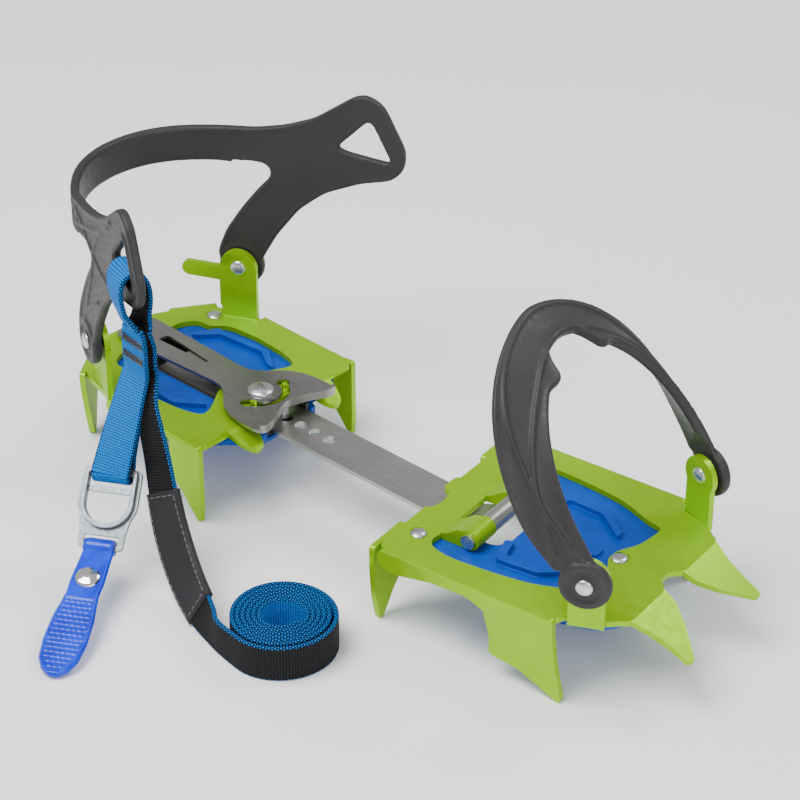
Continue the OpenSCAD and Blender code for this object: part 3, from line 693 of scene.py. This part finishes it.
def make_bail():
    solid = Solid()
    stations = np.linspace(3, 177, 150)
    outside = []
    inside = []
    for a in stations:
        width = np.linalg.norm(bail_front(a) - bail_back(a))
        first, last = bail_span(a)
        last += bail_edge(a) / width
        top = []
        low = []
        for share in np.linspace(0, 1, 26):
            v = first + (last - first) * share
            edge = min(share, 1 - share) * (last - first) * width
            rim = 0.7 * (1 - smooth(0.8, 2.4, edge))
            round_off = 1.1 * (1 - smooth(0.0, 1.3, edge)) ** 2
            hollow = -0.5 * smooth(2, 6, edge)
            top.append(bail_point(a, v, BAIL_T / 2 + rim + hollow - round_off))
            low.append(bail_point(a, v, -BAIL_T / 2 + 0.8 * round_off))
        outside.append(top)
        inside.append(low)
    solid.grid(outside, inside)
    for line in BAIL_LINES:
        for mirror in (False, True):
            route = spline([(180 - a if mirror else a, v) for a, v in line], 6)
            solid.tube([bail_point(a, v, BAIL_T / 2 - 0.35) for a, v in route], 0.95)
    solid.verts = [np.asarray(v) + [0, 0, BAIL_Z] for v in solid.verts]
    for side in (1, -1):
        solid.lathe(boss_profile(BAIL_BOSS_R, BAIL_T), bail_boss_place(side))
    obj = solid.moulded("toe_bail", 0.55, TPU, rounds=3)
    keep_off_lugs(obj)
    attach(obj, "bail")
    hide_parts("front_bail")


def keep_off_lugs(obj):
    """Presses what lies near a pivot outwards onto the boss's inner face, and
    lets go of it smoothly further up."""
    for vert in obj.data.vertices:
        side = 1 if vert.co.y > 0 else -1
        p = np.array([vert.co.x / MM, side * vert.co.y / MM - BAIL_Y, 0])
        q = turned(p, BAIL_TOE)
        away = math.hypot(q[0], vert.co.z / MM - BAIL_Z)
        face = PLATE_T / 2 + BOSS_GAP - 7 * smooth(11, 26, away)
        if away < 26 and q[1] < face:
            q[1] = face
            back = turned(q, -BAIL_TOE)
            vert.co.x = back[0] * MM
            vert.co.y = side * (back[1] + BAIL_Y) * MM


make_bail()
make_side_rivets("bail_rivet_pair", "bail_rivets", "front", [bail_boss_place(side) for side in (1, -1)],
                 -BOSS_GAP - PLATE_T, BAIL_T + BOSS_RISE)

# -------------------------------------------------------------- heel basket

BASKET_SIDE = [
    (-11.5, 29), (-7, 41), (1.2, 54), (9.2, 64.6), (14.8, 70.6), (14.8, 75.5), (10, 77.6),
    (-11.5, 75.3), (-12, 75.3), (-12, 91.2), (-11.5, 91.2), (8, 93.2), (22, 96.6),
    (35, 101.8), (46, 109.6), (54, 115.4),
    (60, 116.4), (67, 112.4), (77, 92), (76, 83.5), (70.5, 78), (56, 74.2), (40, 67),
    (28, 57), (17, 42), (10, 29), (8, 24), (-9, 24),
]
BASKET_HOLE = [(61, 105.8), (45.4, 90), (50, 88.3), (71, 85.8)]
BASKET_LINES = [
    [(-10, 88), (2, 84), (12, 77), (24, 72), (38, 71), (52, 78)],
    [(44, 104), (32, 94), (22, 84), (16, 74), (12, 62), (6, 50), (2, 40)],
    [(-10, 79), (2, 82), (14, 86), (28, 92), (40, 100)],
    [(-2, 36), (6, 44), (14, 50), (20, 54)],
]
WASHER_RELIEF = 0.35
BAND_R = 46.5
BAND_LOW = 75.0
BAND_HIGH = 91.3
BAND_X = -223 + BAND_R


def rear_place(p, side):
    """From the far rear half, mirrored for the near side, into the frame."""
    return HINGE + turned(np.array([p[0], side * p[1], p[2]]), REAR_YAW)


def wall_place(side):
    def place(u, depth, z):
        p = turned(np.array([u, BASKET_GAP + depth, 0]), SPLAY)
        return rear_place((p[0] + BASKET_X, p[1] + BASKET_Y, z), side)

    return place


def basket_boss_place(side):
    place = wall_place(side)
    return lambda u, depth, z: place(u, depth, z + BASKET_Z)


def rim_start(rim):
    """Where the rim leaves the top of the rear band."""
    return min(range(len(rim)), key=lambda i: abs(rim[i][0] + 8) + abs(rim[i][1] - 90.4))


def make_basket():
    solid = Solid()
    outline = soft(BASKET_SIDE, 4, 5)
    hole = soft(BASKET_HOLE, 4, 5)
    for side in (1, -1):
        place = wall_place(side)
        solid.prism(outline, WASHER_RELIEF, BASKET_T - 0.7, place, holes=[hole])
        rim = [p for p in inset(outline, 1.25) if p[0] > -9 or p[1] < 70]
        rim = rim[rim_start(rim):] + rim[:rim_start(rim)]
        solid.tube([place(p[0], BASKET_T - 1.1, p[1]) for p in rim], 1.25)
        solid.tube([place(p[0], 1.2, p[1]) for p in rim], 1.2)
        lip = inset(hole, -1.7)
        solid.tube([place(p[0], BASKET_T - 1.2, p[1]) for p in lip], 1.6, closed=True)
        solid.tube([place(p[0], 1.5, p[1]) for p in lip], 1.5, closed=True)
        for line in BASKET_LINES:
            solid.tube([place(p[0], BASKET_T - 0.8, p[1]) for p in spline(line, 6)], 1.0)

        solid.lathe(boss_profile(BASKET_BOSS_R, BASKET_T, WASHER_RELIEF), basket_boss_place(side))
    half = 90 - SPLAY + 1.5
    outside = []
    inside = []
    for a in np.linspace(180 - half, 180 + half, 110):
        outer = []
        inner = []
        for v in np.linspace(0, 1, 16):
            z = BAND_LOW + (BAND_HIGH - BAND_LOW) * v
            edge = min(v, 1 - v) * (BAND_HIGH - BAND_LOW)
            rim = 0.6 * (1 - smooth(0.8, 2.2, edge)) - 0.9 * (1 - smooth(0, 1.1, edge)) ** 2 - 0.4
            flare = 1.1 * smooth(42, 66, abs(a - 180))
            r_out = BAND_R + flare + BASKET_T / 2 + rim
            r_in = BAND_R + flare - BASKET_T / 2 + 0.8 * (1 - smooth(0, 1.1, edge)) ** 2
            outer.append(rear_place((BAND_X + r_out * cos(a), r_out * sin(a), z), 1))
            inner.append(rear_place((BAND_X + r_in * cos(a), r_in * sin(a), z), 1))
        outside.append(outer)
        inside.append(inner)
    solid.grid(outside, inside)
    obj = solid.moulded("heel_cup", 0.6, TPU, rounds=4)
    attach(obj, "basket")
    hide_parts("heel_basket")


make_basket()
make_side_rivets("basket_rivet_pair", "basket_rivets", "heel", [basket_boss_place(side) for side in (1, -1)],
                 -BASKET_GAP - PLATE_T / 2, BASKET_T + BOSS_RISE)

# -------------------------------------------------------------------- strap

WALL_TURN = REAR_YAW - SPLAY
LOOP_AT = rear_place((BASKET_X, BASKET_Y, 0), -1) + turned(
    np.array([LOOP_U, -BASKET_GAP - BASKET_T / 2, 0]), WALL_TURN)
RING_W = np.array([cos(RING_TURN), sin(RING_TURN), 0])
RING_O = np.array([sin(RING_TURN), -cos(RING_TURN), 0])
STRAND_GAP = 2.2


def hang(z):
    return HANG_TURN + (WALL_TURN - HANG_TURN) * max(0.0, min(1.0, (z - 62) / 12))


def web_q(z):
    return turned(np.array([1.0, 0, 0]), hang(z))


def on_loop(p, z, q=0.0):
    return LOOP_AT + turned(np.array([q, p, 0]), hang(z)) + [0, 0, z]


def drop(a):
    across = 8.2 * sin(a) * (0.68 + 0.32 * cos(a))
    return on_loop(across, 64 + 27.4 * (0.5 + 0.5 * cos(a)), 2.6 - 2.6 * cos(a))


def ring_point(y, z):
    return (RING_AT - RING_O * (y * cos(RING_SLOPE) + z * sin(RING_SLOPE))
            + [0, 0, z * cos(RING_SLOPE) - y * sin(RING_SLOPE)])


def fold(a):
    return ring_point((RING_T + RING_GAP) / 2 + 4.4 * cos(a), 3.9 * sin(a))


FOLD_START = 203
SHORT_BEND = on_loop(-STRAND_GAP, 45.8, 5)


def strand(t, back=0.0):
    return fold(FOLD_START) + (SHORT_BEND - fold(FOLD_START)) * t - RING_O * back


def strand_q(t):
    return unit(web_q(0) * t + RING_W * (1 - t))


TAIL_ROUTE = [
    (-200.5, -60, 36), (-196, -62.5, 25), (-191, -65, 12), (-186.5, -68, 0), (-180, -72.5, -11),
    (-171, -78.5, -19.5), (-160, -85.5, -25.5), (-149, -92, -28.6), (-140, -97, -29.2), (-133, -101.2, -29.3),
]
TAIL_ACROSS = [
    None, (0.96, -0.2, 0.1), (0.95, -0.12, 0.2), (0.9, -0.02, 0.3), (0.82, 0.1, 0.45), (0.7, 0.2, 0.6),
    (0.55, 0.26, 0.75), (0.4, 0.25, 0.87), (0.2, 0.12, 0.97), (0, 0, 1),
]
LABEL_FIRST = 3
LABEL_LAST = 7
COIL_START = 250
COIL_TURNS = 6.35


def coil_point(turn):
    a = COIL_START + 360 * turn
    r = 22.6 - 2.15 * turn - 0.8 * smooth(0.2, 0.9, turn) + 0.12 * sin(3 * a)
    return np.array([COIL_AT[0] + r * cos(a), COIL_AT[1] + r * sin(a), FLOOR_Z + WEB_W / 2 + 0.1])


def strap_route():
    """The whole strap from its sewn end to its rolled end, as (point, width
    direction)."""
    route = [(strand(t, back), strand_q(t)) for t, back in ((0.5, 2.7), (0.35, 3.6), (0.22, 5), (0.1, 6.7))]
    route += [(fold(a), RING_W) for a in range(FOLD_START + 180, FOLD_START - 1, -20)]
    route += [(strand(t), strand_q(t)) for t in (0.1, 0.25, 0.5, 0.75, 1.0)]
    route += [(on_loop(-STRAND_GAP, z, 5), web_q(z)) for z in (52, 59)]
    route += [(drop(a), web_q(drop(a)[2])) for a in range(-150, 151, 15)]
    route += [(on_loop(STRAND_GAP, z, 5), web_q(z)) for z in (59, 52, 45.8)]
    for point, across in zip(TAIL_ROUTE, TAIL_ACROSS):
        route.append((np.array(point, float), web_q(0) if across is None else unit(np.array(across))))
    turns = np.arange(0, COIL_TURNS, 1 / 20)
    route += [(coil_point(t), np.array([0, 0, 1.0])) for t in turns]
    return route


def resample(route, step):
    """Evenly spaced (point, width direction, distance) along a smooth curve."""
    joined = spline([np.concatenate([p, w]) for p, w in route], 12)
    joined = np.array(joined)
    gaps = np.linalg.norm(np.diff(joined[:, :3], axis=0), axis=1)
    at = np.concatenate([[0], np.cumsum(gaps)])
    wanted = np.linspace(0, at[-1], int(at[-1] / step) + 1)
    columns = [np.interp(wanted, at, joined[:, k]) for k in range(6)]
    table = np.array(columns).T
    return table[:, :3], table[:, 3:], wanted


def section(width, thickness, count):
    """Half-round-edged cross-section as (across, through, face side)."""
    out = []
    flat = width / 2 - thickness * 0.4
    for k in range(count + 1):
        out.append((-flat + 2 * flat * k / count, thickness / 2))
    for a in (60, 30, 0, -30, -60):
        out.append((flat + thickness * 0.4 * cos(a), thickness / 2 * sin(a)))
    for k in range(count + 1):
        out.append((flat - 2 * flat * k / count, -thickness / 2))
    for a in (240, 210, 180, 150, 120):
        out.append((-flat + thickness * 0.4 * cos(a), thickness / 2 * sin(a)))
    return out


def sweep_band(name, route, width, thickness, materials, step=0.3, count=8, teeth=0.0):
    """A band of webbing with UVs in metres: across, and along its length.
    materials are those of the +n side, the -n side and the edges."""
    points, across, at = resample(route, step)
    tangent = np.gradient(points, axis=0)
    tangent /= np.linalg.norm(tangent, axis=1)[:, None]
    across = across - tangent * np.sum(across * tangent, axis=1)[:, None]
    across /= np.linalg.norm(across, axis=1)[:, None]
    normal = np.cross(tangent, across)
    profile = section(width, thickness, count)
    m = len(profile)
    verts = []
    for i in range(len(points)):
        wave = teeth * math.sin(2 * math.pi * at[i] * MM / WEAVE_ALONG)
        for s, t in profile:
            edge = smooth(width / 2 - 1.2, width / 2, abs(s))
            verts.append(points[i] + across[i] * (s + math.copysign(wave * edge, s)) + normal[i] * t)
    faces = []
    kinds = []
    n = len(points)
    for i in range(n - 1):
        for k in range(m):
            b = (k + 1) % m
            faces.append((i * m + k, i * m + b, (i + 1) * m + b, (i + 1) * m + k))
            kinds.append(0 if k < count else 1 if count + 6 <= k < 2 * count + 6 else 2)
    faces.append(tuple(reversed(range(m))))
    faces.append(tuple((n - 1) * m + k for k in range(m)))
    kinds += [2, 2]
    obj = add_object(name, verts, faces, materials)
    obj.data.polygons.foreach_set("material_index", kinds)
    layer = obj.data.uv_layers.new(name="UVMap")
    around = np.concatenate([[0], np.cumsum([math.dist(profile[k], profile[(k + 1) % m]) for k in range(m)])])
    uv = []
    for i in range(n - 1):
        for k in range(m):
            low, high = around[k] * MM, around[k + 1] * MM
            uv += [low, at[i] * MM, high, at[i] * MM, high, at[i + 1] * MM, low, at[i + 1] * MM]
    uv += [c for s, t in reversed(profile) for c in (s * MM, t * MM)]
    uv += [c for s, t in profile for c in (s * MM, t * MM)]
    layer.data.foreach_set("uv", uv)
    return obj, at[-1]


def make_strap():
    strap, length = sweep_band(
        "strap_webbing", strap_route(), WEB_W, WEB_T, [WEB_BLACK, WEB_BLUE, WEB_EDGE], teeth=0.1)
    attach(strap, "strap")
    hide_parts("strap_loop", "strap_short_strand", "strap_tail", "strap_coil")
    return strap, length


strap_piece, strap_length = make_strap()


def make_label():
    """A stitched sleeve round the tail, and the thread round its border."""
    route = [(np.array(TAIL_ROUTE[i], float), unit(np.array(TAIL_ACROSS[i])))
             for i in range(LABEL_FIRST, LABEL_LAST + 1)]
    label, length = sweep_band("label_cover", route, WEB_W + 2.2, WEB_T + 1.5,
                               [LABEL] * 3, step=0.8, count=12)
    points, across, at = resample(route, 0.25)
    tangent = np.gradient(points, axis=0)
    tangent /= np.linalg.norm(tangent, axis=1)[:, None]
    across = across - tangent * np.sum(across * tangent, axis=1)[:, None]
    across /= np.linalg.norm(across, axis=1)[:, None]
    normal = np.cross(tangent, across)
    lift = (WEB_T + 1.5) / 2 + 0.1
    stitch = 2.4
    gap = 1.0
    edge = WEB_W / 2 - 0.6
    threads = Solid()
    for face in (1, -1):
        for s in (edge, -edge):
            start = 2.0
            while start + stitch < length - 2:
                picked = [np.argmin(abs(at - (start + stitch * k / 4))) for k in range(5)]
                bow = [-0.25, 0, 0.06, 0, -0.25]
                threads.tube([points[i] + across[i] * s + normal[i] * face * (lift + b)
                              for i, b in zip(picked, bow)], 0.26, sides=6)
                start += stitch + gap
        for end in (2.0, length - 2.0):
            i = np.argmin(abs(at - end))
            s = -edge + gap
            while s + stitch < edge:
                threads.tube([points[i] + across[i] * (s + stitch * k / 4) + normal[i] * face * (lift + b)
                              for k, b in enumerate([-0.25, 0, 0.06, 0, -0.25])], 0.26, sides=6)
                s += stitch + gap
    stitches = add_object("label_stitches", threads.verts, threads.faces, [GREY_THREAD])
    for piece, slot in ((label, "label_rubber"), (stitches, "tack_thread")):
        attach(piece, "strap")
    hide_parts("label_sleeve")


make_label()


def make_tacks():
    """Two sewn bars, each a dense zigzag across the front strand."""
    threads = Solid()
    for z in (53, 60.4):
        zigzag = []
        for k in range(27):
            s = -6.4 + 12.8 * k / 26
            zigzag.append(on_loop(-STRAND_GAP - WEB_T / 2 - 0.1, z + (1.25 if k % 2 else -1.25), 5 + s))
        threads.tube(zigzag, 0.27, sides=6)
        for dz in (-1.3, 1.3):
            line = [on_loop(-STRAND_GAP - WEB_T / 2 - 0.05, z + dz, 5 + s) for s in (-6.6, 0, 6.6)]
            threads.tube(line, 0.3, sides=6)
    obj = add_object("bar_tack_threads", threads.verts, threads.faces, [DARK_THREAD])
    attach(obj, "strap")
    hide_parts("strap_bar_tacks")


make_tacks()

# ----------------------------------------------------------------- pull tab

TAB_SLOPE = 15.5
TAB_T = 3.0
TAB_SLOT_Z = -28.6
TAB_SHAPE = [
    (3.4, 6.4), (-9, 6.8), (-18, 7.3), (-25, 7), (-30, 7.6), (-37, 8.7), (-49, 9.2), (-58, 8.2),
    (-63, 5.6), (-65.4, 2.6), (-66, 0.4),
]
SCALE_PITCH = 2.3


def tab_place(x, y, z):
    """x runs back up the tab, z away from its top face's other side."""
    at = ring_point(RING_T + RING_GAP, TAB_SLOT_Z - 2.85)
    p = np.array([-x * cos(TAB_SLOPE) + z * sin(TAB_SLOPE), y, x * sin(TAB_SLOPE) + z * cos(TAB_SLOPE)])
    return at + turned(p, RING_TURN - 90)


def scales(x, y):
    """Overlapping fish scales: each cell rises towards its free end."""
    row = math.floor(x / SCALE_PITCH)
    fx = x / SCALE_PITCH - row
    fy = (y / SCALE_PITCH + 0.5 * (row % 2)) % 1.0 - 0.5
    return 0.45 * (1 - fx) * (1 - (2 * fy) ** 2) + 0.05


def make_tab():
    xs = [p[0] for p in reversed(TAB_SHAPE)]
    ws = [p[1] for p in reversed(TAB_SHAPE)]
    top = []
    low = []
    for x in np.linspace(-66, 3.4, 240):
        half = float(np.interp(x, xs, ws))
        top_row = []
        low_row = []
        for v in np.linspace(-1, 1, 56):
            y = half * v
            edge = min(half * (1 - abs(v)), x + 66)
            round_off = 1.2 * (1 - smooth(0, 1.4, edge)) ** 2
            pad = smooth(1.4, 2.0, edge) * (1 - smooth(-29, -27.5, x))
            texture = pad * (scales(x, y) - 0.45)
            neck = 0.9 * smooth(-27, -23, x)
            top_row.append(tab_place(x, y, TAB_T / 2 - round_off + texture - 0.3 * neck))
            low_row.append(tab_place(x, y, -TAB_T / 2 + round_off - 0.6 * texture + 0.3 * neck))
        top.append(top_row)
        low.append(low_row)
    solid = Solid()
    solid.grid(top, low)
    solid.tube([tab_place(0, y, 0) for y in np.linspace(-6.3, 6.3, 9)], 3.1, sides=20)
    obj = add_object("tab_paddle", solid.verts, solid.faces, [TAB_BLUE])
    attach(obj, "tab")
    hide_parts("pull_tab")


make_tab()

# ---------------------------------------------------------- floor and light


def add_floor():
    size = 3.0
    mesh = bpy.data.meshes.new("floor")
    z = FLOOR_Z * MM
    corners = [(-size, -size, z), (size, -size, z), (size, size, z), (-size, size, z)]
    mesh.from_pydata(corners, [], [(0, 1, 2, 3)])
    floor = bpy.data.objects.new("floor", mesh)
    bpy.context.scene.collection.objects.link(floor)
    s = Shader("floor_paint", (0.95, 0.95, 0.95), 0.8)
    s.vary_color(s.noise(3, 2), [(0.3, (0.94, 0.94, 0.94)), (0.7, (0.96, 0.96, 0.96))])
    mesh.materials.append(s.material)


def add_softbox(name, at, target, size, watts):
    data = bpy.data.lights.new(name, "AREA")
    data.shape = "RECTANGLE"
    data.size = size[0]
    data.size_y = size[1]
    data.energy = watts
    light = bpy.data.objects.new(name, data)
    light.location = at
    light.rotation_euler = (Vector(target) - Vector(at)).to_track_quat("-Z", "Y").to_euler()
    bpy.context.scene.collection.objects.link(light)


def add_world():
    world = bpy.data.worlds.new("studio")
    world.use_nodes = True
    background = world.node_tree.nodes["Background"]
    background.inputs["Color"].default_value = (1, 1, 1, 1)
    background.inputs["Strength"].default_value = 0.5
    bpy.context.scene.world = world


add_floor()
add_world()
MIDDLE = (-0.1, 0.0, 0.02)
add_softbox("key_light", (-0.45, -0.45, 1.15), MIDDLE, (0.8, 0.8), 22)
add_softbox("back_light", (0.25, 0.75, 1.0), MIDDLE, (0.5, 0.5), 6)
add_softbox("fill_light", (0.9, -0.5, 0.6), MIDDLE, (0.7, 0.7), 6)
